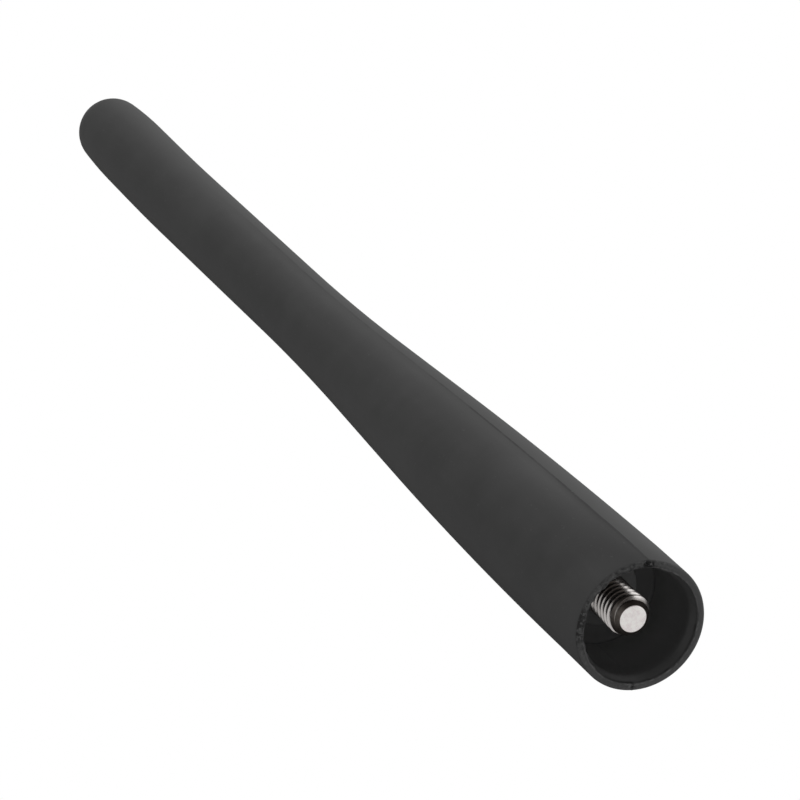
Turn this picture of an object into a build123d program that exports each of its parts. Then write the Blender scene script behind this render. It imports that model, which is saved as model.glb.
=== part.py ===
from build123d import *
import os
from math import atan2, cos, degrees, radians, sin

# Car mast aerial: a rubber sheath moulded over a helical core, with a threaded stud in its foot.
# The mast stands along +Z and its foot's rim lies on the plane z = 0, centred on the origin.
# Every size is in millimetres.

# Rubber sheath, outside
overall_length = 217.0
rim_radius = 9.3
mast_radius = 6.05
skirt_height = 4.5        # plain cylinder above the rim
flare_turn = 2.5          # degrees that the flank of the flare leans in
shoulder_curve = 1530.0   # radius of the long bend that starts the flare
neck_curve = 770.0        # radius of the bend that ends it
tip_taper = 17.0          # from the end of the plain mast to the very tip
tip_slim = 0.35           # how much slimmer the ball of the tip is than the mast
rim_round = 0.5           # rounded outer edge of the rim

# Socket in the foot, which drops over the boss of the car's roof base
skirt_wall = 1.6
socket_depth = 12.5
mouth_flare = 0.5         # how much the wall is thinned by the tapered lead-in
mouth_depth = 2.2

# Threaded stud
thread_radius = 3.0
stud_recess = 2.5         # from the rim plane to the end of the stud
stud_chamfer = 0.9
shank_radius = 2.5
shank_length = 11.0
shank_chamfer = 0.4

# Ferrule
floor_web = 1.5           # rubber between the socket and the ferrule
collar_flats = 11.0       # across the flats of the hexagon
collar_height = 5.0
waist_radius = 3.9
waist_height = 2.5
barrel_radius = 4.8
barrel_height = 7.0
crimp_wall = 0.8
crimp_length = 16.0
bore_end_room = 0.5       # drilled past the end of the stud's shank
rod_seat_web = 1.0        # from the barrel's top down to the foot of the rod

# Core rod and winding
rod_radius = 2.5
tip_cover = 11.0          # rubber above the end of the rod
strip_width = 1.2
strip_thickness = 0.35
winding_turns = 13
rod_bare_end = 3.0        # rod left standing out of the winding

# Clearances
mould_gap = 0.02          # rubber to what it is moulded on
press_gap = 0.01          # pressed and crimped joints
wrap_gap = 0.02           # strip to rod
turn_gap = 0.1            # edges of the strip, which stand off the rod, to the rubber
solder_gap = 0.05         # first turn to the ferrule

# Heights and radii that follow from them
mast_top = overall_length - tip_taper
flare_angle = radians(flare_turn)
curve_inset = (shoulder_curve + neck_curve) * (1 - cos(flare_angle))
flank_length = (rim_radius - mast_radius - curve_inset) / sin(flare_angle)
tip_radius = mast_radius - tip_slim
tip_rise = tip_taper - tip_radius
tip_curve = (mast_radius**2 + tip_rise**2 - tip_radius**2) / (2 * tip_slim)
tip_turn = degrees(atan2(tip_rise, tip_curve - mast_radius))

socket_radius = rim_radius - skirt_wall
mouth_radius = socket_radius + mouth_flare

ferrule_foot = socket_depth + floor_web
collar_top = ferrule_foot + collar_height
waist_top = collar_top + waist_height
barrel_top = waist_top + barrel_height
ferrule_top = barrel_top + crimp_length
crimp_bore = rod_radius + press_gap
crimp_radius = crimp_bore + crimp_wall

rod_foot = barrel_top - rod_seat_web
rod_top = overall_length - tip_cover
strip_inner = rod_radius + wrap_gap
strip_middle = strip_inner + strip_thickness / 2
wound_radius = strip_inner + strip_thickness + turn_gap
wound_top = rod_top - rod_bare_end
winding_foot = ferrule_top + solder_gap + strip_width / 2
winding_top = wound_top - strip_width / 2
winding_pitch = (winding_top - winding_foot) / winding_turns

# Rubber sheath: the turned body, the socket in its foot and the hollow round the core
with BuildPart() as rubber_sheath:
    with BuildSketch(Plane.XZ):
        with BuildLine():
            skirt = Line((rim_radius, rim_round), (rim_radius, skirt_height))
            shoulder = JernArc(start=skirt @ 1, tangent=skirt % 1, radius=shoulder_curve, arc_size=flare_turn)
            flank = PolarLine(shoulder @ 1, flank_length, direction=shoulder % 1)
            neck = JernArc(start=flank @ 1, tangent=flank % 1, radius=neck_curve, arc_size=-flare_turn)
            mast = Line(neck @ 1, (mast_radius, mast_top))
            taper = JernArc(start=mast @ 1, tangent=mast % 1, radius=tip_curve, arc_size=tip_turn)
            ball = JernArc(start=taper @ 1, tangent=taper % 1, radius=tip_radius, arc_size=90 - tip_turn)
            rim = RadiusArc(skirt @ 0, (rim_radius - rim_round, 0), rim_round)
            Polyline(ball @ 1, (0, 0), rim @ 1)
        make_face()
    revolve(axis=Axis.Z)
    with BuildSketch(Plane.XZ):
        with BuildLine():
            Polyline(
                (0, 0),
                (mouth_radius, 0),
                (socket_radius, mouth_depth),
                (socket_radius, socket_depth),
                (0, socket_depth),
                close=True,
            )
        make_face()
    revolve(axis=Axis.Z, mode=Mode.SUBTRACT)
    with BuildSketch(Plane.XZ):
        with BuildLine():
            Polyline(
                (0, socket_depth),
                (shank_radius + mould_gap, socket_depth),
                (shank_radius + mould_gap, collar_top),
                (waist_radius + mould_gap, collar_top),
                (waist_radius + mould_gap, waist_top - mould_gap),
                (barrel_radius + mould_gap, waist_top - mould_gap),
                (barrel_radius + mould_gap, barrel_top + mould_gap),
                (crimp_radius + mould_gap, barrel_top + mould_gap),
                (crimp_radius + mould_gap, ferrule_top + mould_gap),
                (wound_radius, ferrule_top + mould_gap),
                (wound_radius, wound_top + mould_gap),
                (rod_radius + mould_gap, wound_top + mould_gap),
                (rod_radius + mould_gap, rod_top + mould_gap),
                (0, rod_top + mould_gap),
                close=True,
            )
        make_face()
    revolve(axis=Axis.Z, mode=Mode.SUBTRACT)
    with BuildSketch(Plane.XY.offset(ferrule_foot - mould_gap)):
        RegularPolygon(collar_flats / 2 + mould_gap, 6, major_radius=False)
    extrude(amount=collar_height + 2 * mould_gap, mode=Mode.SUBTRACT)
rubber_sheath.part.label = "rubber_sheath"

# Threaded stud: its free end at the thread's outer diameter, and a shank pressed into the ferrule
with BuildPart() as threaded_stud:
    with BuildSketch(Plane.XY.offset(stud_recess)):
        Circle(thread_radius)
    extrude(amount=socket_depth - stud_recess)
    with BuildSketch(Plane.XY.offset(socket_depth)):
        Circle(shank_radius)
    extrude(amount=shank_length)
    ends = threaded_stud.edges().filter_by(GeomType.CIRCLE).sort_by(Axis.Z)
    chamfer(ends[0], length=stud_chamfer)
    chamfer(ends[-1], length=shank_chamfer)
threaded_stud.part.label = "threaded_stud"

# Ferrule: hexagon collar, grooved barrel and crimped tube, bored from both ends
with BuildPart() as ferrule:
    with BuildSketch(Plane.XY.offset(ferrule_foot)):
        RegularPolygon(collar_flats / 2, 6, major_radius=False)
    extrude(amount=collar_height)
    with BuildSketch(Plane.XY.offset(collar_top)):
        Circle(waist_radius)
    extrude(amount=waist_height)
    with BuildSketch(Plane.XY.offset(waist_top)):
        Circle(barrel_radius)
    extrude(amount=barrel_height)
    with BuildSketch(Plane.XY.offset(barrel_top)):
        Circle(crimp_radius)
    extrude(amount=crimp_length)
    with BuildSketch(Plane.XY.offset(ferrule_foot)):
        Circle(shank_radius + press_gap)
    extrude(amount=shank_length - floor_web + bore_end_room, mode=Mode.SUBTRACT)
    with BuildSketch(Plane.XY.offset(rod_foot)):
        Circle(crimp_bore)
    extrude(amount=ferrule_top - rod_foot, mode=Mode.SUBTRACT)
ferrule.part.label = "ferrule"

# Core rod
with BuildPart() as core_rod:
    with BuildSketch(Plane.XY.offset(rod_foot)):
        Circle(rod_radius)
    extrude(amount=rod_top - rod_foot)
core_rod.part.label = "core_rod"

# Copper winding: flat strip, wound on the rod from the ferrule to near the tip
with BuildPart() as copper_winding:
    with BuildLine() as turns:
        Helix(winding_pitch, winding_top - winding_foot, strip_middle, center=(0, 0, winding_foot))
    with BuildSketch(Plane(turns.line @ 0, x_dir=(1, 0, 0), z_dir=turns.line % 0)):
        Rectangle(strip_thickness, strip_width)
    sweep(path=turns.line, is_frenet=True)
copper_winding.part.label = "copper_winding"

os.makedirs("parts", exist_ok=True)
for piece in (rubber_sheath, threaded_stud, ferrule, core_rod, copper_winding):
    export_step(piece.part, f"parts/{piece.part.label}.step")
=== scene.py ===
"""Car mast aerial, dressed for the camera: moulded rubber sheath, plated stud and the core inside."""

import logging
import math
from collections.abc import Callable, Iterator
from contextlib import contextmanager
from dataclasses import dataclass, field
from enum import Enum
from typing import Any

import bpy
from mathutils import Matrix, Vector


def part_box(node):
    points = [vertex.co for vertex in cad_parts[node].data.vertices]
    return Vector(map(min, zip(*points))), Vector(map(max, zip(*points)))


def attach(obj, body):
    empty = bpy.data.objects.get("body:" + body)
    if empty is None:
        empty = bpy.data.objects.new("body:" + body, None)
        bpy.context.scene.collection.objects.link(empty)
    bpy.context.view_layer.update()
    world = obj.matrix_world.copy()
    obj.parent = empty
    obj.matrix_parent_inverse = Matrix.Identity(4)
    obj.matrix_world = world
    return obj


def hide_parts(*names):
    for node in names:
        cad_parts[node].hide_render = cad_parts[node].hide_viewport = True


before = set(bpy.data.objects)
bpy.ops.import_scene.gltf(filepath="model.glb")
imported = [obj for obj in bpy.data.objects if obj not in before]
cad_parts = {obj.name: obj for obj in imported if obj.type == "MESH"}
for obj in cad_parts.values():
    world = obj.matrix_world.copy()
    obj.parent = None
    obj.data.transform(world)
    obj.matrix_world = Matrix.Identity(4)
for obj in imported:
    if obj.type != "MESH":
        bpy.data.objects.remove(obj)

LOG = logging.getLogger("mast_aerial")
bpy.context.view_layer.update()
BODY = "root"
TO_MM = 1000.0
RIM_GROUP = "trimmed_rim"
BOW_GROUP = "bowed_mast"
UP = Vector((0.0, 0.0, 1.0))
MERGE = 1e-7
HAIR = 1e-6

Point = tuple[float, float]
Band = tuple[float, float]
Colour = tuple[float, float, float, float]


class Node(str, Enum):
    """The CAD nodes of the frame."""

    SHEATH = "rubber_sheath"
    STUD = "threaded_stud"
    FERRULE = "ferrule"
    ROD = "core_rod"
    WINDING = "copper_winding"


class Slot(str, Enum):
    """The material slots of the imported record."""

    RUBBER = "sheath_rubber"
    STEEL = "plated_steel"
    BRASS = "ferrule_brass"
    GLASS_FIBRE = "rod_glass_fibre"
    COPPER = "winding_copper"


def grey(level: float) -> Colour:
    """Return an opaque neutral colour of that linear level."""
    return (level, level, level, 1.0)


class Signal:
    """A shader socket that takes part in Python arithmetic."""

    def __init__(self, tree: "Tree", socket: bpy.types.NodeSocket) -> None:
        """Wrap a socket of a tree."""
        self.tree = tree
        self.socket = socket

    def _math(self, operation: str, *operands: "Operand") -> "Signal":
        """Add a Math node for one operation."""
        return self.tree.node("ShaderNodeMath", {"operation": operation}, dict(enumerate(operands)))

    def __add__(self, other: "Operand") -> "Signal":
        """Return self + other."""
        return self._math("ADD", self, other)

    def __radd__(self, other: "Operand") -> "Signal":
        """Return other + self."""
        return self._math("ADD", other, self)

    def __sub__(self, other: "Operand") -> "Signal":
        """Return self - other."""
        return self._math("SUBTRACT", self, other)

    def __rsub__(self, other: "Operand") -> "Signal":
        """Return other - self."""
        return self._math("SUBTRACT", other, self)

    def __mul__(self, other: "Operand") -> "Signal":
        """Return self * other."""
        return self._math("MULTIPLY", self, other)

    def __rmul__(self, other: "Operand") -> "Signal":
        """Return other * self."""
        return self._math("MULTIPLY", other, self)

    def __truediv__(self, other: "Operand") -> "Signal":
        """Return self / other."""
        return self._math("DIVIDE", self, other)

    def __rtruediv__(self, other: "Operand") -> "Signal":
        """Return other / self."""
        return self._math("DIVIDE", other, self)

    def __abs__(self) -> "Signal":
        """Return the absolute value."""
        return self._math("ABSOLUTE", self)

    def sine(self) -> "Signal":
        """Return the sine of self, in radians."""
        return self._math("SINE", self)

    def length_with(self, other: "Signal") -> "Signal":
        """Return the hypotenuse of self and other."""
        return self._math("SQRT", self * self + other * other)

    def step(self, low: float, high: float) -> "Signal":
        """Rise smoothly from 0 at low to 1 at high.

        Args:
            low: Value at which the result is 0.
            high: Value at which the result is 1; it may be below low.

        Returns:
            The eased step, clamped to 0 and 1.
        """
        rising = low < high
        eased = self.tree.node(
            "ShaderNodeMapRange",
            {"interpolation_type": "SMOOTHSTEP"},
            {"Value": self, "From Min": min(low, high), "From Max": max(low, high)},
        )
        return eased if rising else 1.0 - eased


Operand = Signal | float
Layer = tuple[Operand, Colour]


class Tree:
    """A node tree that is filled through a single node-making method."""

    def __init__(self, node_tree: bpy.types.NodeTree) -> None:
        """Empty the tree and take it over.

        Args:
            node_tree: Node tree of a material or a world.
        """
        self.nodes = node_tree.nodes
        self.links = node_tree.links
        self.nodes.clear()

    def node(
        self,
        kind: str,
        settings: dict[str, Any] | None = None,
        inputs: dict[str | int, Any] | None = None,
        output: str | int = 0,
    ) -> Signal:
        """Add a node.

        Args:
            kind: Type of the node.
            settings: Its properties, set first.
            inputs: Values or signals for its input sockets, by name or place.
            output: Name or place of the socket that is returned.

        Returns:
            The output socket.
        """
        made = self.nodes.new(kind)
        for key, value in (settings or {}).items():
            setattr(made, key, value)
        for key, value in (inputs or {}).items():
            if isinstance(value, Signal):
                self.links.new(value.socket, made.inputs[key])
            else:
                made.inputs[key].default_value = value
        return Signal(self, made.outputs[output]) if made.outputs else Signal(self, made.inputs[0])

    def blend(self, factor: Operand, first: Any, second: Any) -> Signal:
        """Mix two colours by a factor."""
        return self.node("ShaderNodeMix", {"data_type": "RGBA"}, {0: factor, 6: first, 7: second}, 2)

    def paint(self, colour: Any, layers: list[Layer]) -> Any:
        """Lay colours over a colour, one after the other.

        Args:
            colour: Colour to start from.
            layers: Weight and colour of each layer.

        Returns:
            The painted colour.
        """
        for weight, layer in layers:
            colour = self.blend(weight, colour, layer)
        return colour

    def noise(self, vector: Signal, scale: float, detail: float = 2.0, roughness: float = 0.5) -> Signal:
        """Return a noise texture's value, about 0.5 on average.

        Args:
            vector: Coordinates to read.
            scale: Features per unit of the coordinates.
            detail: Number of finer octaves.
            roughness: Weight of the finer octaves.

        Returns:
            The noise value.
        """
        return self.node(
            "ShaderNodeTexNoise",
            {"noise_dimensions": "3D"},
            {"Vector": vector, "Scale": scale, "Detail": detail, "Roughness": roughness},
        )

    def millimetres(self, stretch: tuple[float, float, float] = (1.0, 1.0, 1.0)) -> Signal:
        """Read Object coordinates in millimetres.

        Args:
            stretch: Factor for each axis.

        Returns:
            The coordinates.
        """
        coords = self.node("ShaderNodeTexCoord", output="Object")
        scale = tuple(TO_MM * factor for factor in stretch)
        return self.node("ShaderNodeVectorMath", {"operation": "MULTIPLY"}, {0: coords, 1: scale})

    def dot(self, vector: Signal, direction: Vector) -> Signal:
        """Return the dot product of a vector and a fixed direction."""
        inputs = {0: vector, 1: direction}
        return self.node("ShaderNodeVectorMath", {"operation": "DOT_PRODUCT"}, inputs, "Value")

    def axes(self, vector: Signal) -> tuple[Signal, Signal, Signal]:
        """Split a vector into its three components."""
        outputs = self.node("ShaderNodeSeparateXYZ", inputs={0: vector}).socket.node.outputs
        return Signal(self, outputs[0]), Signal(self, outputs[1]), Signal(self, outputs[2])

    def bump(
        self, height: Signal, distance_mm: float, strength: float = 1.0, under: Signal | None = None
    ) -> Signal:
        """Return a normal bent by a height.

        Args:
            height: Height signal, about 0 to 1.
            distance_mm: Depth that the height stands for.
            strength: Share of the effect.
            under: Normal that it is added to.

        Returns:
            The bent normal.
        """
        inputs: dict[str | int, Any] = {
            "Height": height,
            "Distance": distance_mm / TO_MM,
            "Strength": strength,
        }
        if under is not None:
            inputs["Normal"] = under
        return self.node("ShaderNodeBump", inputs=inputs)

    def surface(self, **inputs: Any) -> None:
        """Add the Principled shader and the output.

        Args:
            inputs: Values or signals, by socket names with underscores for spaces.
        """
        named = {key.replace("_", " "): value for key, value in inputs.items()}
        shader = self.node("ShaderNodeBsdfPrincipled", inputs=named)
        self.node("ShaderNodeOutputMaterial", inputs={"Surface": shader})


def new_material(name: str) -> tuple[bpy.types.Material, Tree]:
    """Add a material that uses nodes.

    Args:
        name: Name of the material.

    Returns:
        The material and its empty node tree.
    """
    material = bpy.data.materials.new(name)
    material.use_nodes = True
    return material, Tree(material.node_tree)


class SheathPlace:
    """Where a point of the sheath lies, in millimetres, with the noises and masks that its layers share."""

    def __init__(self, tree: Tree, finish: "RubberFinish") -> None:
        """Add the coordinates, the noises and the masks.

        Args:
            tree: Node tree of the rubber.
            finish: The rubber, whose bands the masks use.
        """
        self.point = tree.millimetres()
        self.x, self.y, self.z = tree.axes(self.point)
        self.radius = self.x.length_with(self.y)
        self.flow = tree.noise(tree.millimetres((1.0, 1.0, 0.08)), 0.55, 3.0)
        self.mottle = tree.noise(self.point, 0.16, 4.0, 0.55)
        self.patch = tree.noise(self.point, 0.075, 2.0)
        self.ragged = tree.noise(self.point, 1.3, 3.0)
        self.torn = tree.noise(self.point, 2.4, 2.0, 0.6)
        self.specks = tree.noise(self.point, 1.7, 1.0).step(0.72, 0.77)
        sharp = self.y.step(*finish.half_edge_mm)
        soft = self.y.step(*finish.soft_half_edge_mm)
        self.outside = self.radius.step(*finish.mast_side_mm)
        self.split = self.z.step(*finish.halves_fade_mm)
        self.first_half = (1.0 - sharp) * self.outside
        # The second half is the paler mould half; its colour layer is also painted light on the side that
        # faces the light.
        self.second_half = (sharp * self.split + soft * (1.0 - self.split)) * self.outside
        self.flat = self.z.step(*finish.flat_height_mm) * self.radius.step(*finish.flat_inner_mm)
        self.cut_side = self.facing(finish.cut_azimuth).step(*finish.cut_facing)
        self.burrs = self.flat * self.torn.step(0.57, 0.66) * (0.25 + self.cut_side * 0.45)

    def facing(self, azimuth: float) -> Signal:
        """Return the cosine of the angle round the axis between a point and an azimuth."""
        return (self.x * math.cos(azimuth) + self.y * math.sin(azimuth)) / self.radius


@dataclass(frozen=True)
class RubberFinish:
    """Satin charcoal rubber as it comes from a two-part mould, trimmed at the rim, with painted light and
    shade laid into its colour.

    Shades are linear grey levels. A band holds where a mask begins and where it is full. The line is the
    parting line of the mould, on both sides at y = 0.
    """

    shade: float = 0.034
    dusty_shade: float = 0.052
    # Paler second mould half: partly its own tone, partly painted light on the side that faces the light.
    second_half_lit_shade: float = 0.056
    shadow_shade: float = 0.0119
    trim_shade: float = 0.085
    # Pale torn flecks in the flash, partly painted glints.
    flap_glint_shade: float = 0.119
    # Near black: painted shadow in pits, nicks, chips, the parting line's crease and under the ledge.
    crevice_shadow_shade: float = 0.006
    mouth_shade: float = 0.034
    # Painted light: the socket's walls are lightened with depth, where little light reaches.
    deep_socket_lit_shade: float = 0.155
    # Painted light on the socket's floor.
    floor_shade: float = 0.088
    # Paler tone of the trimmed flat, laid on more strongly towards +y as painted light.
    rim_shade: float = 0.047
    # Painted pool of light on the floor's boss, stronger on the lit side.
    boss_lit_shade: float = 0.18
    # Painted light on the lead-in band, laid on by azimuth.
    lead_in_lit_shade: float = 0.050
    roughness: float = 0.44
    second_half_roughness: float = 0.05
    grain_per_mm: float = 5.0
    grain_depth_mm: float = 0.010
    flow_depth_mm: float = 0.02
    mast_side_mm: Band = (5.3, 5.6)
    halves_fade_mm: Band = (175.0, 130.0)
    half_edge_mm: Band = (-0.04, 0.10)
    # Up the mast the half's edge widens into a painted gradient of light across the mast.
    soft_half_edge_mm: Band = (-4.5, 3.0)
    line_fade_mm: Band = (160.0, 135.0)
    line_strong_mm: Band = (85.0, 55.0)
    line_foot_mm: Band = (55.0, 25.0)
    line_rim_mm: Band = (0.4, 1.0)
    line_width_mm: Band = (0.27, 0.11)
    line_burr_mm: Band = (0.30, 0.08)
    line_burr_offset_mm: float = 0.12
    line_shadow_mm: Band = (-1.5, 0.0)
    line_shadow_foot_mm: Band = (38.0, 12.0)
    foot_shadow_mm: Band = (30.0, 1.0)
    foot_shadow_side_mm: Band = (-7.5, -0.8)
    foot_edge_mm: Band = (9.0, 0.5)
    flat_height_mm: Band = (0.5, 0.25)
    flat_inner_mm: Band = (8.0, 8.15)
    flat_light_facing: Band = (-0.9, 0.2)
    cut_azimuth: float = math.radians(-50.0)
    cut_facing: Band = (0.0, 0.8)
    # The painted shadow on the cut side reaches out to this radius.
    cut_outer_mm: Band = (8.75, 8.45)
    chip_azimuth: float = math.radians(-87.0)
    chip_facing: Band = (0.950, 0.985)
    # Pale inner lip: pale trimmed rubber, with a painted glint along the edge.
    lip_inner_mm: Band = (8.10, 8.22)
    lip_outer_mm: Band = (8.46, 8.34)
    tear_radius_mm: float = 8.80
    tear_wall_mm: float = 0.50
    tear_reach_mm: float = 0.85
    tear_spread: Band = (1.1, 0.7)
    tear_height_mm: Band = (1.1, 0.7)
    tear_side_mm: Band = (-9.0, -8.0)
    socket_outer_mm: Band = (8.3, 8.15)
    socket_inner_mm: Band = (2.6, 3.2)
    socket_end_mm: Band = (13.5, 12.9)
    mouth_mm: Band = (0.6, 1.4)
    deep_mm: Band = (1.9, 13.0)
    floor_mm: Band = (12.1, 12.4)
    boss_edge_mm: Band = (5.15, 4.95)
    boss_light_azimuth: float = math.radians(40.54)
    boss_light_facing: Band = (-0.2, 0.6)
    lead_in_start_mm: Band = (0.40, 0.85)
    lead_in_end_mm: Band = (2.1, 1.3)
    lead_in_light_azimuth: float = math.radians(55.515)
    ledge_start_mm: Band = (0.12, 0.2)
    ledge_end_mm: Band = (0.6, 0.4)

    def build(self) -> bpy.types.Material:
        """Lay the layers over the plain rubber.

        Returns:
            The material.
        """
        material, tree = new_material(Slot.RUBBER.value)
        place = SheathPlace(tree, self)
        layers = self._mould_layers(place) + self._rim_layers(place) + self._line_layers(place)
        layers += self._socket_layers(place) + self._tear_layers(place)
        colour = tree.paint(grey(self.shade), layers)
        rough = self.roughness + place.mottle * 0.10 + place.flow * 0.06 + place.patch * 0.06
        rough = rough + place.burrs * 0.08 + place.second_half * self.second_half_roughness
        grain = tree.noise(place.point, self.grain_per_mm, 3.0, 0.6)
        normal = tree.bump(grain, self.grain_depth_mm, 0.55)
        normal = tree.bump(place.flow, self.flow_depth_mm, 0.35, normal)
        tree.surface(Base_Color=colour, Roughness=rough, Normal=normal, Specular_IOR_Level=0.22)
        return material

    def _mould_layers(self, place: SheathPlace) -> list[Layer]:
        """Colour the outside: dust, the paler half of the mould lightened as painted light, painted shadows
        by the line and the foot, specks.

        Args:
            place: Shared signals of the sheath.

        Returns:
            The layers.
        """
        y, z, first, second = place.y, place.z, place.first_half, place.second_half
        dust = place.mottle.step(0.3, 0.75) * 0.45 + place.flow.step(0.35, 0.8) * 0.25
        dust = dust + place.patch.step(0.38, 0.66) * 0.35
        beside_line = y.step(*self.line_shadow_mm) * first * place.split
        beside_line = beside_line * (0.30 + z.step(*self.line_shadow_foot_mm) * 0.65)
        foot = z.step(*self.foot_shadow_mm) * y.step(*self.foot_shadow_side_mm) * first * 0.9
        foot = foot + z.step(*self.foot_edge_mm) * second * 0.35
        return [
            (dust, grey(self.dusty_shade)),
            # Painted light: the second mould half is lightened on the side that faces the light.
            (second * 0.5, grey(self.second_half_lit_shade)),
            (beside_line, grey(self.shadow_shade)),
            (foot, grey(self.shadow_shade)),
            (place.specks * 0.25, grey(self.trim_shade)),
        ]

    def _rim_layers(self, place: SheathPlace) -> list[Layer]:
        """Colour the trimmed flat of the rim: its paler tone with painted light, painted shadow on the cut
        side, nicks and chips darkened as painted shade, burrs, and an inner lip partly painted as a glint.

        Args:
            place: Shared signals of the sheath.

        Returns:
            The layers.
        """
        flat, radius, torn, ragged = place.flat, place.radius, place.torn, place.ragged
        # Paler trimmed flat: its own tone, and painted light that is stronger towards +y, the lit side.
        flat_tone_and_light = flat * (0.35 + (place.y / radius).step(*self.flat_light_facing) * 0.55)
        # Painted shadow across the trimmed flat on the side of the rough cut.
        cut = flat * place.cut_side * radius.step(*self.cut_outer_mm)
        # Nicks in the flat, darkened near black as painted shade of their pits.
        nick_shadows = flat * torn.step(0.47, 0.38) * (0.10 + place.cut_side * 0.70)
        # Pale inner lip: pale trimmed rubber, with a painted glint along the edge.
        lip = flat * radius.step(*self.lip_inner_mm) * radius.step(*self.lip_outer_mm)
        lip = lip * ragged.step(0.35, 0.65) * (1.0 - place.cut_side * 0.65)
        # Chips on the left of the flat: near-black painted shade of torn pits.
        chip_shadows = flat * place.facing(self.chip_azimuth).step(*self.chip_facing)
        chip_shadows = chip_shadows * (ragged * 0.65 + torn * 0.35).step(0.54, 0.49)
        return [
            (flat_tone_and_light, grey(self.rim_shade)),
            (cut * 0.72, grey(self.shadow_shade)),
            (nick_shadows * 0.8, grey(self.crevice_shadow_shade)),
            (place.burrs * 0.7, grey(self.trim_shade)),
            (lip * 0.8, grey(self.trim_shade)),
            (chip_shadows * 0.92, grey(self.crevice_shadow_shade)),
        ]

    def _line_layers(self, place: SheathPlace) -> list[Layer]:
        """Colour the parting line as a painted shadow in its crease, which fades out up the mast, and the
        burrs along it.

        Args:
            place: Shared signals of the sheath.

        Returns:
            The layers.
        """
        y, z = place.y, place.z
        low_mast = z.step(*self.line_fade_mm) * 0.45 + z.step(*self.line_strong_mm) * 0.55
        low_mast = low_mast * place.outside
        broken = 0.40 + z.step(*self.line_foot_mm) * 0.25 + place.mottle.step(0.58, 0.42) * 0.60
        # Painted shadow along the crease of the parting line.
        line = abs(y).step(*self.line_width_mm) * low_mast * broken
        line = line * (0.30 + z.step(*self.line_rim_mm) * 0.65)
        burr = abs(y - self.line_burr_offset_mm).step(*self.line_burr_mm) * low_mast
        burr = burr * place.torn.step(0.62, 0.70)
        return [(line, grey(self.crevice_shadow_shade)), (burr * 0.5, grey(self.trim_shade))]

    def _socket_layers(self, place: SheathPlace) -> list[Layer]:
        """Colour the socket: the mouth, then painted light on the deep walls, the floor, its boss and part of
        the lead-in, and painted shadow below the ledge.

        Args:
            place: Shared signals of the sheath.

        Returns:
            The layers.
        """
        radius, z = place.radius, place.z
        inside = radius.step(*self.socket_outer_mm) * radius.step(*self.socket_inner_mm)
        inside = inside * z.step(*self.socket_end_mm)
        floor = inside * z.step(*self.floor_mm)
        # Painted pool of light on the boss, stronger towards the lit side.
        boss_light = floor * radius.step(*self.boss_edge_mm)
        boss_light = boss_light * (0.3 + place.facing(self.boss_light_azimuth).step(*self.boss_light_facing) * 0.7)
        # Painted light: the lead-in is lightened by azimuth round the mouth.
        lead_in_light = abs(place.facing(self.lead_in_light_azimuth))
        lead_in_light = lead_in_light.step(0.2, 0.6) * lead_in_light.step(1.0, 0.8)
        lead_in = inside * z.step(*self.lead_in_start_mm) * z.step(*self.lead_in_end_mm)
        # Painted shadow in the step below the inner lip.
        ledge = inside * z.step(*self.ledge_start_mm) * z.step(*self.ledge_end_mm)
        return [
            (inside * z.step(*self.mouth_mm), grey(self.mouth_shade)),
            # Painted light: the deep walls are lightened with depth, and the floor below them.
            (inside * z.step(*self.deep_mm), grey(self.deep_socket_lit_shade)),
            (floor, grey(self.floor_shade)),
            (boss_light, grey(self.boss_lit_shade)),
            (lead_in * (0.05 + lead_in_light * 0.85), grey(self.lead_in_lit_shade)),
            (ledge * place.ragged.step(0.25, 0.6) * 0.7, grey(self.crevice_shadow_shade)),
        ]

    def _tear_layers(self, place: SheathPlace) -> list[Layer]:
        """Colour the torn flash on the rim, where the line ends: its pit as painted shadow, with pale flecks
        that are partly painted glints.

        Args:
            place: Shared signals of the sheath.

        Returns:
            The layers.
        """
        across_wall = (place.radius - self.tear_radius_mm) / self.tear_wall_mm
        along_rim = place.y / self.tear_reach_mm
        spread = across_wall.length_with(along_rim) + (place.ragged - 0.5) * 1.2
        spot = spread.step(*self.tear_spread) * place.z.step(*self.tear_height_mm)
        spot = spot * place.x.step(*self.tear_side_mm)
        # Painted shadow in the torn pit, with pale flecks partly painted glints.
        tear_shadow = spot * place.torn.step(0.56, 0.46)
        flap_glints = spot * place.torn.step(0.57, 0.64)
        return [(tear_shadow * 0.9, grey(self.crevice_shadow_shade)), (flap_glints, grey(self.flap_glint_shade))]


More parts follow.
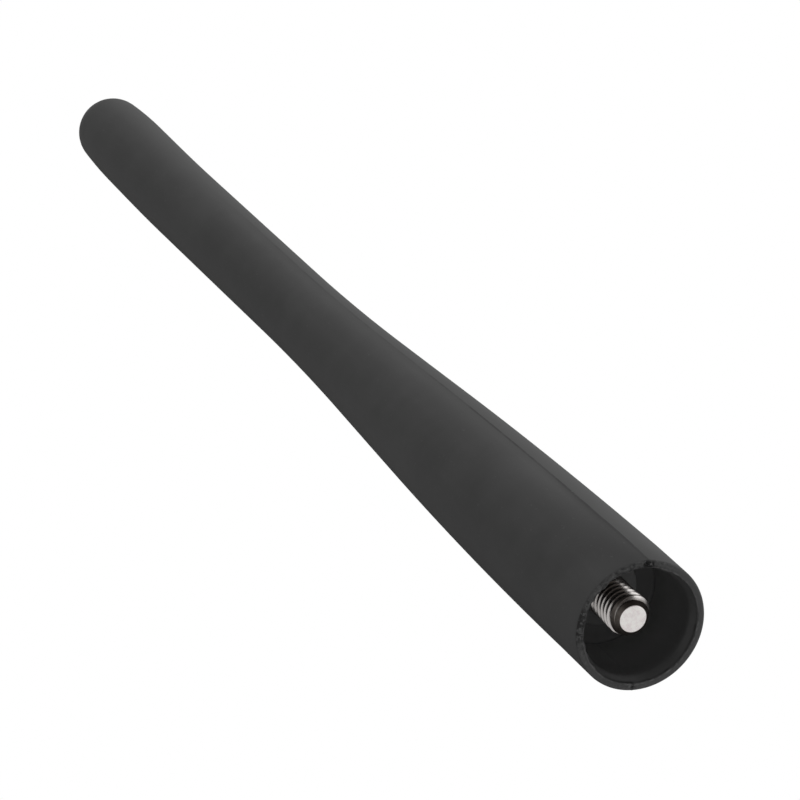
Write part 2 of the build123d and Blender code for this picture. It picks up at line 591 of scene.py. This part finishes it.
@dataclass(frozen=True)
class PlatedSteelFinish:
    """Bright nickel plate on a cut thread, tarnished in its roots, with a faced end."""

    bright: Colour = (0.88, 0.855, 0.83, 1.0)
    rosy: Colour = (0.80, 0.745, 0.735, 1.0)
    thread: Colour = (0.58, 0.555, 0.54, 1.0)
    # Tarnish, and on the chamfer a painted reflection of the dark surroundings.
    tarnish_and_dark_reflection: Colour = (0.105, 0.090, 0.078, 1.0)
    root_radius_mm: float = 2.45
    crest_radius_mm: float = 2.95
    end_mm: float = 2.6
    end_radius_mm: float = 1.87

    def build(self) -> bpy.types.Material:
        """Fill the node tree.

        Returns:
            The material.
        """
        material, tree = new_material(Slot.STEEL.value)
        place = tree.millimetres()
        x, y, z = tree.axes(place)
        radius = x.length_with(y)
        cloud = tree.noise(place, 1.1, 4.0, 0.6)
        fine = tree.noise(place, 9.0, 3.0)
        behind_end = z.step(self.end_mm + 0.02, self.end_mm + 0.08)
        root = radius.step(self.crest_radius_mm - 0.10, self.root_radius_mm) * behind_end
        cone = radius - (z - self.end_mm) - self.end_radius_mm
        chamfer = cone.step(-0.06, -0.02) * behind_end
        pits = fine.step(0.66, 0.74)
        end_face = tree.blend(cloud.step(0.40, 0.62), self.bright, self.rosy)
        end_face = tree.blend(pits * 0.35, end_face, self.tarnish_and_dark_reflection)
        colour = tree.blend(behind_end, end_face, self.thread)
        colour = tree.blend(root * (0.35 + cloud * 0.6), colour, self.tarnish_and_dark_reflection)
        # Darker towards the socket floor.
        colour = tree.blend(z.step(4.0, 9.0) * 0.35, colour, self.tarnish_and_dark_reflection)
        # Dark chamfer: tarnish, and a painted reflection of the dark surroundings.
        colour = tree.blend(chamfer * (0.70 + cloud * 0.4), colour, self.tarnish_and_dark_reflection)
        facing_rings = (radius * 46.0 + fine * 2.0).sine() * (1.0 - behind_end)
        rough = 0.09 + fine * 0.10 + cloud * 0.06 + root * 0.10 + chamfer * 0.16
        normal = tree.bump(facing_rings, 0.004, 0.5)
        normal = tree.bump(fine, 0.004, 0.5, normal)
        tree.surface(Base_Color=colour, Roughness=rough, Metallic=1.0, Normal=normal)
        return material


@dataclass(frozen=True)
class TurnedMetalFinish:
    """Bare turned metal with fine tool rings along its length."""

    name: str
    bright: Colour
    dull: Colour
    ring_per_mm: float
    roughness: float

    def build(self) -> bpy.types.Material:
        """Fill the node tree.

        Returns:
            The material.
        """
        material, tree = new_material(self.name)
        place = tree.millimetres()
        z = tree.axes(place)[2]
        cloud = tree.noise(place, 0.7, 4.0, 0.6)
        rings = (z * (math.tau * self.ring_per_mm) + cloud * 3.0).sine()
        colour = tree.blend(cloud.step(0.4, 0.8), self.bright, self.dull)
        normal = tree.bump(rings, 0.003, 0.5)
        tree.surface(Base_Color=colour, Roughness=self.roughness + cloud * 0.2, Metallic=1.0, Normal=normal)
        return material


@dataclass(frozen=True)
class GlassFibreFinish:
    """Drawn glass-fibre rod, pale, with strands along its length."""

    resin: Colour = (0.66, 0.62, 0.47, 1.0)
    strand: Colour = (0.80, 0.79, 0.72, 1.0)

    def build(self) -> bpy.types.Material:
        """Fill the node tree.

        Returns:
            The material.
        """
        material, tree = new_material(Slot.GLASS_FIBRE.value)
        strands = tree.noise(tree.millimetres((1.0, 1.0, 0.03)), 5.0, 3.0, 0.6)
        cloud = tree.noise(tree.millimetres(), 0.4, 2.0)
        colour = tree.blend(strands.step(0.35, 0.7), self.resin, self.strand)
        normal = tree.bump(strands, 0.01, 0.5)
        tree.surface(Base_Color=colour, Roughness=0.45 + cloud * 0.2, Normal=normal)
        return material


def dress(piece: bpy.types.Object, material: bpy.types.Material) -> None:
    """Give a piece one material all over."""
    piece.data.materials.clear()
    piece.data.materials.append(material)


def choose(piece: bpy.types.Object) -> None:
    """Make a piece the active one and the only one selected.

    Args:
        piece: Piece that the next operators act on.
    """
    bpy.ops.object.select_all(action="DESELECT")
    piece.select_set(True)
    bpy.context.view_layer.objects.active = piece


@contextmanager
def editing(piece: bpy.types.Object) -> Iterator[None]:
    """Work on a piece in edit mode, in vertex selection.

    Args:
        piece: Mesh object, in object mode.
    """
    choose(piece)
    bpy.ops.object.mode_set(mode="EDIT")
    bpy.ops.mesh.select_mode(type="VERT")
    yield
    bpy.ops.object.mode_set(mode="OBJECT")


def pick(piece: bpy.types.Object, test: Callable[[Vector], bool]) -> list[int]:
    """Select the vertices of a piece that pass a test, and nothing else.

    Args:
        piece: Mesh object, in object mode.
        test: Called with a vertex's place.

    Returns:
        The places in the mesh of the vertices that were picked.
    """
    mesh = piece.data
    for part in (*mesh.polygons, *mesh.edges):
        part.select = False
    for vertex in mesh.vertices:
        vertex.select = test(vertex.co)
    return [vertex.index for vertex in mesh.vertices if vertex.select]


def arc(centre: Point, radius: float, start: float, end: float, steps: int) -> list[Point]:
    """Place points along an arc, from just past its start to its end.

    Args:
        centre: Centre of the arc.
        radius: Its radius.
        start: Angle that it starts from.
        end: Angle that it ends at.
        steps: Number of points.

    Returns:
        The points.
    """
    turn = (end - start) / steps
    angles = [start + turn * (count + 1) for count in range(steps)]
    return [(centre[0] + radius * math.cos(a), centre[1] + radius * math.sin(a)) for a in angles]


def run(start: Point, end: Point, steps: int) -> list[Point]:
    """Return evenly spaced points along a line, from just past its start to its end."""
    shares = [(count + 1) / steps for count in range(steps)]
    return [(start[0] + (end[0] - start[0]) * s, start[1] + (end[1] - start[1]) * s) for s in shares]


def draw_section(name: str, section: list[Point]) -> bpy.types.Object:
    """Draw a section in the XZ plane by extruding one vertex along it.

    Args:
        name: Name of the new piece.
        section: Points as distance from the axis and height.

    Returns:
        The piece, a chain of edges.
    """
    bpy.ops.object.select_all(action="DESELECT")
    bpy.ops.mesh.primitive_plane_add(size=0.001)
    piece = bpy.context.object
    piece.name = name
    with editing(piece):
        bpy.ops.mesh.select_all(action="SELECT")
        bpy.ops.mesh.merge(type="CENTER")
        bpy.ops.transform.translate(value=(section[0][0], 0.0, section[0][1]))
        for (r0, z0), (r1, z1) in zip(section, section[1:]):
            bpy.ops.mesh.extrude_vertices_move(TRANSFORM_OT_translate={"value": (r1 - r0, 0.0, z1 - z0)})
    return piece


def spin_section(name: str, section: list[Point], columns: int) -> bpy.types.Object:
    """Spin a section round Z into a closed piece.

    Args:
        name: Name of the new piece.
        section: Points from the axis and back to it.
        columns: Number of columns round the axis.

    Returns:
        The piece, with its normals outwards.
    """
    piece = draw_section(name, section)
    with editing(piece):
        bpy.ops.mesh.select_all(action="SELECT")
        bpy.ops.mesh.spin(steps=columns, angle=math.tau, center=(0.0, 0.0, 0.0), axis=(0.0, 0.0, 1.0))
        bpy.ops.mesh.select_all(action="SELECT")
        bpy.ops.mesh.remove_doubles(threshold=MERGE)
        bpy.ops.mesh.normals_make_consistent(inside=False)
    return piece


def boolean(piece: bpy.types.Object, other: bpy.types.Object, operation: str) -> None:
    """Combine a piece with another, which is used up.

    Args:
        piece: Piece to change.
        other: Piece that is used up.
        operation: Kind of boolean.
    """
    choose(piece)
    modifier = piece.modifiers.new("combine", "BOOLEAN")
    modifier.operation = operation
    modifier.solver = "EXACT"
    modifier.object = other
    bpy.ops.object.modifier_apply(modifier=modifier.name)
    bpy.data.objects.remove(other)


def smooth(piece: bpy.types.Object, angle_deg: float) -> None:
    """Shade a piece smooth, apart from edges sharper than an angle."""
    choose(piece)
    bpy.ops.object.shade_smooth_by_angle(angle=math.radians(angle_deg))


def report(piece: bpy.types.Object) -> None:
    """Log a finished piece."""
    LOG.info("%s: %d faces", piece.name, len(piece.data.polygons))


@dataclass
class RubberSheath:
    """The moulded sheath: flared mast, rim, socket and the hollow round the core."""

    columns: int = 300
    mast_radius: float = 0.00605
    skirt_height: float = 0.0045
    flare_turn: float = math.radians(2.5)
    shoulder_curve: float = 1.530
    neck_curve: float = 0.770
    tip_taper: float = 0.0170
    tip_slim: float = 0.00035
    rim_round: float = 0.00043
    skirt_wall: float = 0.0016
    lip_radius: float = 0.00825
    lip_round: float = 0.00008
    ledge_drop: float = 0.00045
    ledge_step: float = 0.00010
    lead_in_depth: float = 0.0017
    socket_depth: float = 0.0125
    boss_radius: float = 0.0050
    boss_height: float = 0.0002
    seam_height: float = 0.00003
    seam_top: float = 0.030
    bow: float = 0.0005
    bow_start: float = 0.010
    bow_reach: float = 0.045
    bow_return: float = 0.042
    bow_azimuth: float = math.radians(-139.5)
    rim_lift: float = 0.00008
    rough_azimuth: float = math.radians(-65.0)
    trim_fade: float = 0.0008
    trim_shift: float = 0.00058
    trim_rise: float = 0.00030
    tear_reach: float = 0.00080
    tear_depth: float = 0.00020
    small_tear_reach: float = 0.00026
    small_tear_depth: float = 0.00016
    tear_seed: int = 3
    stud_hole: float = 0.00252
    core_gap: float = 0.00002
    floor_round: float = 0.0004
    box_room: float = 0.00001
    finish: RubberFinish = field(default_factory=RubberFinish)

    def __post_init__(self) -> None:
        """Take the overall sizes from the CAD node."""
        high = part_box(Node.SHEATH.value)[1]
        self.length = high.z - HAIR
        self.rim_radius = high.x - self.seam_height - self.box_room
        self.socket_radius = high.x - self.skirt_wall

    def outer_section(self) -> list[Point]:
        """Draw the outside, from the rim's flat to the tip.

        Returns:
            Points as distance from the axis and height.
        """
        turn = self.flare_turn
        rim = self.rim_radius
        foot = self.rim_lift
        points = arc((rim - self.rim_round, foot + self.rim_round), self.rim_round, -math.pi / 2, 0.0, 6)
        points += run(points[-1], (rim, self.skirt_height), 12)
        points += arc((rim - self.shoulder_curve, self.skirt_height), self.shoulder_curve, 0.0, turn, 24)
        neck_inset = self.neck_curve * (1 - math.cos(turn))
        flank_drop = points[-1][0] - self.mast_radius - neck_inset
        flank_end = (self.mast_radius + neck_inset, points[-1][1] + flank_drop / math.tan(turn))
        points += run(points[-1], flank_end, 8)
        neck_top = flank_end[1] + self.neck_curve * math.sin(turn)
        neck_centre = (self.mast_radius + self.neck_curve, neck_top)
        points += arc(neck_centre, self.neck_curve, math.pi + turn, math.pi, 14)
        points += run(points[-1], (self.mast_radius, self.length - self.tip_taper), 20)
        return points + self._tip()

    def _tip(self) -> list[Point]:
        """Draw the slight taper and the ball of the tip.

        Returns:
            Points as distance from the axis and height.
        """
        ball = self.mast_radius - self.tip_slim
        rise = self.tip_taper - ball
        curve = (self.mast_radius**2 + rise**2 - ball**2) / (2 * self.tip_slim)
        turn = math.atan2(rise, curve - self.mast_radius)
        taper = arc((self.mast_radius - curve, self.length - self.tip_taper), curve, 0.0, turn, 8)
        return taper + arc((0.0, self.length - ball), ball, turn, math.pi / 2, 14)

    def inner_section(self) -> list[Point]:
        """Draw the inside, from the end of the core's hollow to the rim's flat.

        Returns:
            Points as distance from the axis and height.
        """
        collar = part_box(Node.FERRULE.value)
        rod_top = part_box(Node.ROD.value)[1].z
        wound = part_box(Node.WINDING.value)[1]
        gap = self.core_gap
        hollow = wound.x + gap
        pocket = collar[1].x + gap
        foot = self.rim_lift
        points = [(0.0, rod_top + gap), (hollow, rod_top + gap)]
        points += [(hollow, collar[1].z + gap), (pocket, collar[1].z + gap)]
        points += [(pocket, collar[0].z - gap), (self.stud_hole, collar[0].z - gap)]
        points += [(self.stud_hole, self.socket_depth)]
        floor = self.socket_depth + self.boss_height
        points += run(points[-1], (self.boss_radius - self.boss_height * 0.5, self.socket_depth), 4)
        points += [(self.boss_radius, self.socket_depth + self.boss_height * 0.5), (self.boss_radius, floor)]
        points += run(points[-1], (self.socket_radius - self.floor_round, floor), 3)
        floor_centre = (self.socket_radius - self.floor_round, floor - self.floor_round)
        points += arc(floor_centre, self.floor_round, math.pi / 2, 0.0, 4)
        points += run(points[-1], (self.socket_radius, foot + self.lead_in_depth), 8)
        points += run(points[-1], (self.lip_radius - self.ledge_step, foot + self.ledge_drop), 5)
        points += run(points[-1], (self.lip_radius, foot + self.lip_round), 3)
        lip_centre = (self.lip_radius + self.lip_round, foot + self.lip_round)
        points += arc(lip_centre, self.lip_round, math.pi, math.pi * 1.5, 3)
        return points + run(points[-1], (self.rim_radius - self.rim_round, foot), 5)

    def build(self) -> bpy.types.Object:
        """Model the sheath and dress it.

        Returns:
            The finished piece.
        """
        piece = spin_section("sheath", self.inner_section() + self.outer_section(), self.columns)
        self._raise_seam(piece)
        self._bow_mast(piece)
        self._trim_rim(piece)
        self._tear_flash(piece, 1.0, self.tear_reach, self.tear_depth)
        self._tear_flash(piece, -1.0, self.small_tear_reach, self.small_tear_depth)
        smooth(piece, 40.0)
        dress(piece, self.finish.build())
        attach(piece, BODY)
        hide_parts(Node.SHEATH.value)
        report(piece)
        return piece

    def _raise_seam(self, piece: bpy.types.Object) -> None:
        """Raise the parting line of the mould on both sides of the foot.

        Args:
            piece: The sheath.
        """
        pick(piece, lambda co: abs(co.y) < HAIR and co.z < self.seam_top and self._is_outside(co))
        stretch = 1.0 + self.seam_height / self.rim_radius
        with editing(piece):
            bpy.ops.transform.resize(value=(stretch, 1.0, 1.0), center_override=(0.0, 0.0, 0.0))

    def _is_outside(self, co: Vector) -> bool:
        """Tell whether a vertex lies on the outside of the skirt, the mast or the tip."""
        past_core = co.z > self.length - self.tip_taper * 0.6
        return math.hypot(co.x, co.y) > self.mast_radius * 0.9 or past_core

    def _bow_mast(self, piece: bpy.types.Object) -> None:
        """Let the outside bow a little to one side above the skirt, and come back at the tip.

        Args:
            piece: The sheath.
        """
        group = piece.vertex_groups.new(name=BOW_GROUP)
        for vertex in piece.data.vertices:
            height = vertex.co.z
            if height > self.bow_start and self._is_outside(vertex.co):
                rise = 1.0 - math.exp((self.bow_start - height) / self.bow_reach)
                back = min(1.0, max(0.0, 1.0 - (self.length - height) / self.bow_return))
                group.add([vertex.index], rise * (1.0 - back * back * (3.0 - 2.0 * back)), "REPLACE")
        for direction, share in (("X", math.cos(self.bow_azimuth)), ("Y", math.sin(self.bow_azimuth))):
            modifier = piece.modifiers.new("bow", "DISPLACE")
            modifier.direction = direction
            modifier.vertex_group = BOW_GROUP
            modifier.mid_level = 0.0
            modifier.strength = self.bow * share
            bpy.ops.object.modifier_apply(modifier=modifier.name)

    def _trim_rim(self, piece: bpy.types.Object) -> None:
        """Make the rim uneven, as trimming leaves it: most at its inner lip, least at its outer edge.

        Args:
            piece: The sheath.
        """
        group = piece.vertex_groups.new(name=RIM_GROUP)
        fade = self.trim_fade
        rough_side = Vector((math.cos(self.rough_azimuth), math.sin(self.rough_azimuth)))
        for vertex in piece.data.vertices:
            height = vertex.co.z - self.rim_lift
            flat = vertex.co.to_2d()
            if height < fade and self.socket_radius < flat.length < self.rim_radius - self.rim_round * 0.25:
                inner = flat.length < self.lip_radius + self.lip_round * 2
                side = 0.45 + 0.9 * max(0.0, flat.normalized().dot(rough_side))
                weight = (1.0 - height / fade) * (1.0 if inner else 0.35) * side
                group.add([vertex.index], min(1.0, weight), "REPLACE")
        wavy = ("X", self.trim_shift, 0.5), ("Y", self.trim_shift, 0.5), ("Z", self.trim_rise, 0.25)
        for scale, share in ((0.0018, 1.0), (0.0006, 0.6)):
            for direction, strength, middle in wavy:
                self._displace(piece, RIM_GROUP, direction, strength * share, middle, scale)

    @staticmethod
    def _displace(
        piece: bpy.types.Object, group: str, direction: str, strength: float, middle: float, scale: float
    ) -> None:
        """Shift a group of vertices by a cloud texture, and apply it.

        Args:
            piece: Piece to change.
            group: Name of the vertex group.
            direction: Axis of the shift.
            strength: Size of the shift for the texture's full range.
            middle: Texture value at which nothing moves.
            scale: Size of the clouds.
        """
        texture = bpy.data.textures.new(f"rim_trim_{direction}", "CLOUDS")
        texture.noise_scale = scale * {"X": 1.0, "Y": 1.13, "Z": 1.31}[direction]
        texture.noise_depth = 1
        modifier = piece.modifiers.new("trim", "DISPLACE")
        modifier.texture = texture
        modifier.texture_coords = "LOCAL"
        modifier.direction = direction
        modifier.vertex_group = group
        modifier.mid_level = middle
        modifier.strength = strength
        choose(piece)
        bpy.ops.object.modifier_apply(modifier=modifier.name)

    def _tear_flash(self, piece: bpy.types.Object, side: float, reach: float, depth: float) -> None:
        """Tear a pit into the rim where the parting line ends.

        Args:
            piece: The sheath.
            side: Sign of X on which the line lies.
            reach: Half the width of the pit.
            depth: How deep it goes.
        """
        middle = Vector(((self.lip_radius + self.rim_radius) / 2 * side, 0.0, self.rim_lift))
        pick(piece, lambda co: (co - middle).length < reach * 1.5)
        with editing(piece):
            bpy.ops.mesh.subdivide(number_cuts=2)
        pick(piece, lambda co: (co - middle).length < reach * 0.35)
        with editing(piece):
            bpy.ops.transform.translate(
                value=(0.0, 0.0, depth),
                use_proportional_edit=True,
                proportional_edit_falloff="SPHERE",
                proportional_size=reach,
            )
        edge = self.rim_radius - self.rim_round * 0.5
        pick(piece, lambda co: (co - middle).length < reach * 0.9 and co.to_2d().length < edge)
        with editing(piece):
            bpy.ops.transform.vertex_random(offset=depth * 0.35, uniform=1.0, normal=0.0, seed=self.tear_seed)
        pick(piece, lambda co: co.z < 0.0)
        with editing(piece):
            bpy.ops.transform.resize(value=(1.0, 1.0, 0.0), center_override=(0.0, 0.0, 0.0))


@dataclass
class ThreadedStud:
    """The plated stud: a cut thread with a chamfered end, and the shank in the ferrule."""

    columns: int = 96
    pitch: float = 0.0010
    phase: float = -0.00075
    thread_depth: float = 0.00060
    flank_start: float = 0.20
    crest_start: float = 0.44
    crest_end: float = 0.54
    flank_end: float = 0.95
    chamfer: float = 0.00113
    end_trim: float = 0.0001
    end_spare: float = 0.0002
    shank_radius: float = 0.0025
    shank_chamfer: float = 0.0004
    floor: float = 0.0125
    end_round: float = 0.00008
    finish: PlatedSteelFinish = field(default_factory=PlatedSteelFinish)

    def __post_init__(self) -> None:
        """Take the overall sizes from the CAD node."""
        low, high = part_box(Node.STUD.value)
        self.radius = high.x
        self.end = low.z + self.end_trim
        self.top = high.z

    def build(self) -> bpy.types.Object:
        """Model the stud and dress it.

        Returns:
            The finished piece.
        """
        piece = self._thread()
        boolean(piece, self._envelope(), "INTERSECT")
        boolean(piece, self._shank(), "UNION")
        with editing(piece):
            bpy.ops.mesh.select_all(action="SELECT")
            bpy.ops.mesh.remove_doubles(threshold=HAIR)
            bpy.ops.mesh.dissolve_degenerate(threshold=HAIR)
        smooth(piece, 20.0)
        dress(piece, self.finish.build())
        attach(piece, BODY)
        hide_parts(Node.STUD.value)
        report(piece)
        return piece

    def _thread(self) -> bpy.types.Object:
        """Wind the thread's profile into a rod, cut square a little past the end and at the socket's floor.

        Returns:
            The threaded rod.
        """
        crest = self.radius + HAIR
        root = self.radius - self.thread_depth
        low = self.phase
        shape = [
            (root, 0.0),
            (root, self.flank_start),
            (crest, self.crest_start),
            (crest, self.crest_end),
            (root, self.flank_end),
            (root, 1.0),
        ]
        piece = draw_section("stud", [(r, low + share * self.pitch) for r, share in shape])
        modifier = piece.modifiers.new("thread", "SCREW")
        modifier.axis = "Z"
        modifier.angle = math.tau
        modifier.screw_offset = self.pitch
        modifier.steps = modifier.render_steps = self.columns
        modifier.iterations = round((self.floor - low) / self.pitch) + 2
        modifier.use_merge_vertices = True
        modifier.merge_threshold = MERGE
        bpy.ops.object.modifier_apply(modifier=modifier.name)
        with editing(piece):
            bpy.ops.mesh.select_all(action="SELECT")
            bpy.ops.mesh.remove_doubles(threshold=2 * MERGE)
            for height, outward in ((self.end - self.end_spare, -1.0), (self.floor, 1.0)):
                bpy.ops.mesh.select_all(action="SELECT")
                bpy.ops.mesh.bisect(
                    plane_co=(0.0, 0.0, height),
                    plane_no=(0.0, 0.0, outward),
                    use_fill=True,
                    clear_outer=True,
                    threshold=MERGE,
                )
            bpy.ops.mesh.select_all(action="SELECT")
            bpy.ops.mesh.normals_make_consistent(inside=False)
        return piece

    def _envelope(self) -> bpy.types.Object:
        """Turn the chamfered form that the thread is cut back to.

        Returns:
            The form, wider than the thread apart from its end.
        """
        flat = self.radius - self.chamfer
        spare = 0.001
        section = [(0.0, self.end), (flat - self.end_round, self.end)]
        section += [(flat + self.end_round * 0.5, self.end + self.end_round * 0.5)]
        section += [(self.radius + spare, self.end + self.chamfer + spare)]
        section += [(self.radius + spare, self.floor + spare), (0.0, self.floor + spare)]
        return spin_section("stud_envelope", section, self.columns)

    def _shank(self) -> bpy.types.Object:
        """Turn the plain shank that is pressed into the ferrule.

        Returns:
            The shank, which laps into the thread.
        """
        lap = 0.0006
        section = [(0.0, self.floor - lap), (self.shank_radius - lap, self.floor - lap)]
        section += [(self.shank_radius, self.floor), (self.shank_radius, self.top - self.shank_chamfer)]
        section += [(self.shank_radius - self.shank_chamfer, self.top), (0.0, self.top)]
        return spin_section("stud_shank", section, self.columns)


@dataclass
class InnerCore:
    """The ferrule, the rod and the winding, which stay as the CAD made them."""

    brass: TurnedMetalFinish = TurnedMetalFinish(
        Slot.BRASS.value, (0.78, 0.58, 0.25, 1.0), (0.50, 0.36, 0.16, 1.0), 6.0, 0.22
    )
    copper: TurnedMetalFinish = TurnedMetalFinish(
        Slot.COPPER.value, (0.86, 0.42, 0.24, 1.0), (0.46, 0.20, 0.12, 1.0), 3.0, 0.25
    )
    glass_fibre: GlassFibreFinish = GlassFibreFinish()

    def build(self) -> None:
        """Dress the CAD nodes."""
        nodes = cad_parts
        for node, finish in (
            (Node.FERRULE, self.brass),
            (Node.WINDING, self.copper),
            (Node.ROD, self.glass_fibre),
        ):
            dress(nodes[node.value], finish.build())
            report(nodes[node.value])


@dataclass(frozen=True)
class PhotoView:
    """Where the camera stands: below the foot, looking up along the mast."""

    facing: float = math.radians(-49.5)
    axis_angle: float = math.radians(31.05)
    lean: float = math.radians(43.09)
    eye_out: float = 0.37768
    eye_side: float = 0.00008
    eye_down: float = 0.54309
    lens_mm: float = 226.5
    sensor_mm: float = 36.0

    def toward(self) -> Vector:
        """Return the level direction from the mast to the camera."""
        return Vector((math.cos(self.facing), math.sin(self.facing), 0.0))

    def across(self) -> Vector:
        """Return the level direction that points to the upper right of the picture."""
        return Vector((-math.sin(self.facing), math.cos(self.facing), 0.0))

    def sight(self) -> Vector:
        """Return the direction in which the camera looks."""
        return UP * math.cos(self.axis_angle) - self.toward() * math.sin(self.axis_angle)

    def direction(self, parts: Vector) -> Vector:
        """Return the unit direction with those parts toward the camera, across and up."""
        return (self.toward() * parts.x + self.across() * parts.y + UP * parts.z).normalized()

    def build(self) -> bpy.types.Object:
        """Add the camera and make it the scene's own.

        Returns:
            The camera.
        """
        toward, across, forward = self.toward(), self.across(), self.sight()
        along = -toward * math.cos(self.axis_angle) - UP * math.sin(self.axis_angle)
        right = along * math.cos(self.lean) + across * math.sin(self.lean)
        down = along * math.sin(self.lean) - across * math.cos(self.lean)
        eye = toward * self.eye_out + across * self.eye_side - UP * self.eye_down
        data = bpy.data.cameras.new("camera")
        data.lens = self.lens_mm
        data.sensor_width = self.sensor_mm
        data.clip_start, data.clip_end = 0.01, 20.0
        camera = bpy.data.objects.new("camera", data)
        bpy.context.scene.collection.objects.link(camera)
        turn = Matrix((right, -down, -forward)).transposed()
        camera.matrix_world = Matrix.Translation(eye) @ turn.to_4x4()
        bpy.context.scene.camera = camera
        return camera


@dataclass
class Studio:
    """Pale floor far below, white backdrop, soft light from one side, and two cards that the stud mirrors.

    Places are parts toward the camera, across and up. Bands are cosines of the angle from a direction.
    """

    view: PhotoView
    floor_height: float = -0.9
    floor_radius: float = 4.5
    floor_glow: float = 0.30
    floor_edge_glow: float = 0.62
    floor_edge_start: float = 1.2
    floor_edge_end: float = 4.05
    floor_shade: float = 0.78
    floor_pale_shade: float = 0.84
    backdrop: float = 1.0
    dim: float = 0.05
    middle: float = 0.30
    bright: float = 1.50
    fill: float = 0.46
    left: float = 0.05
    back: float = 0.80
    over_camera: Vector = field(default_factory=lambda: Vector((0.6, -0.45, 1.1)))
    middle_band: Band = (-0.35, 0.25)
    bright_band: Band = (0.2, 1.0)
    fill_band: Band = (0.5, 0.97)
    left_band: Band = (-0.45, -0.95)
    back_band: Band = (0.35, 0.95)
    low_band: Band = (0.50, 0.10)
    key_watts: float = 0.15
    key_size: float = 0.55
    key_distance: float = 1.2
    key_turn: float = math.radians(74.0)
    key_rise: float = math.radians(58.0)
    key_lift: float = 0.1
    card_distance: float = 0.72
    dark_card: Vector = field(default_factory=lambda: Vector((0.41, 0.53, -0.742)))
    dark_card_reach: float = math.radians(38.3)
    dark_card_colour: Colour = (0.116, 0.099, 0.088, 1.0)
    white_card: Vector = field(default_factory=lambda: Vector((-0.39, 0.597, -0.70)))
    white_card_reach: float = math.radians(9.5)
    white_card_shade: float = 0.8
    white_card_glow: float = 1.1

    def build(self) -> None:
        """Add the world, the key light, the floor and the cards."""
        self._world()
        self._key()
        self._floor()
        self._card("dark_card", self.dark_card, self.dark_card_reach, self.dark_card_colour, 0.0)
        white = grey(self.white_card_shade)
        self._card("white_card", self.white_card, self.white_card_reach, white, self.white_card_glow)
        bpy.context.scene.view_settings.view_transform = "Standard"

    def _world(self) -> None:
        """Light the scene softly, most from the picture's upper right, before a white backdrop."""
        world = bpy.data.worlds.new("studio")
        world.use_nodes = True
        bpy.context.scene.world = world
        tree = Tree(world.node_tree)
        direction = tree.node("ShaderNodeTexCoord", output="Generated")
        side = tree.dot(direction, self.view.across())
        front = tree.dot(direction, self.view.direction(self.over_camera))
        behind = tree.dot(direction, -self.view.toward())
        low = tree.dot(direction, UP).step(*self.low_band)
        strength = self.dim + side.step(*self.middle_band) * (self.middle - self.dim)
        strength = strength + side.step(*self.bright_band) * (self.bright - self.middle)
        strength = strength + front.step(*self.fill_band) * self.fill
        strength = strength + side.step(*self.left_band) * self.left
        strength = strength + behind.step(*self.back_band) * low * self.back
        light = tree.node("ShaderNodeBackground", inputs={"Color": grey(1.0), "Strength": strength})
        white = tree.node("ShaderNodeBackground", inputs={"Color": grey(1.0), "Strength": self.backdrop})
        seen = tree.node("ShaderNodeLightPath", output="Is Camera Ray")
        mixed = tree.node("ShaderNodeMixShader", inputs={0: seen, 1: light, 2: white})
        tree.node("ShaderNodeOutputWorld", inputs={"Surface": mixed})

    def _key(self) -> None:
        """Add the soft box whose sheen runs along the mast, right of its middle."""
        level = self.view.toward() * math.cos(self.key_turn) + self.view.across() * math.sin(self.key_turn)
        direction = level * math.cos(self.key_rise) + UP * math.sin(self.key_rise)
        data = bpy.data.lights.new("key", "AREA")
        data.energy = self.key_watts
        data.size = self.key_size
        light = bpy.data.objects.new("key", data)
        bpy.context.scene.collection.objects.link(light)
        light.location = direction * self.key_distance + UP * self.key_lift
        light.rotation_euler = direction.to_track_quat("Z", "Y").to_euler()
        light.visible_camera = False

    def _floor(self) -> None:
        """Add the pale floor, which turns as bright as the backdrop at its edge."""
        bpy.ops.object.select_all(action="DESELECT")
        bpy.ops.mesh.primitive_circle_add(
            radius=self.floor_radius, vertices=128, fill_type="NGON", location=(0.0, 0.0, self.floor_height)
        )
        floor = bpy.context.object
        floor.name = "floor"
        material, tree = new_material("pale_floor")
        place = tree.millimetres()
        x, y, _ = tree.axes(place)
        edge = (x.length_with(y) / TO_MM).step(self.floor_edge_start, self.floor_edge_end)
        cloud = tree.noise(place, 0.004, 3.0)
        tree.surface(
            Base_Color=tree.blend(cloud, grey(self.floor_shade), grey(self.floor_pale_shade)),
            Roughness=0.8,
            Emission_Color=tree.blend(edge, grey(self.floor_glow), grey(self.floor_edge_glow)),
            Emission_Strength=1.0,
        )
        dress(floor, material)

    def _card(self, name: str, place: Vector, reach: float, colour: Colour, glow: float) -> None:
        """Add a round card below, which only the bright metal mirrors.

        Args:
            name: Name of the card.
            place: Direction from the foot.
            reach: Half the angle that the card fills.
            colour: Its colour.
            glow: How much light it gives.
        """
        direction = self.view.direction(place)
        bpy.ops.object.select_all(action="DESELECT")
        bpy.ops.mesh.primitive_circle_add(
            radius=self.card_distance * math.tan(reach), vertices=64, fill_type="NGON"
        )
        card = bpy.context.object
        card.name = name
        card.rotation_euler = direction.to_track_quat("Z", "Y").to_euler()
        card.location = direction * self.card_distance
        card.visible_camera = card.visible_diffuse = card.visible_shadow = False
        material, tree = new_material(name)
        tree.surface(Base_Color=colour, Roughness=0.9, Emission_Color=grey(1.0), Emission_Strength=glow)
        dress(card, material)


def main() -> None:
    """Build the pieces in order and set the stage."""
    logging.basicConfig(level=logging.INFO, format="%(name)s %(message)s")
    RubberSheath().build()
    ThreadedStud().build()
    InnerCore().build()
    view = PhotoView()
    view.build()
    Studio(view).build()


if __name__ == "__main__":
    main()
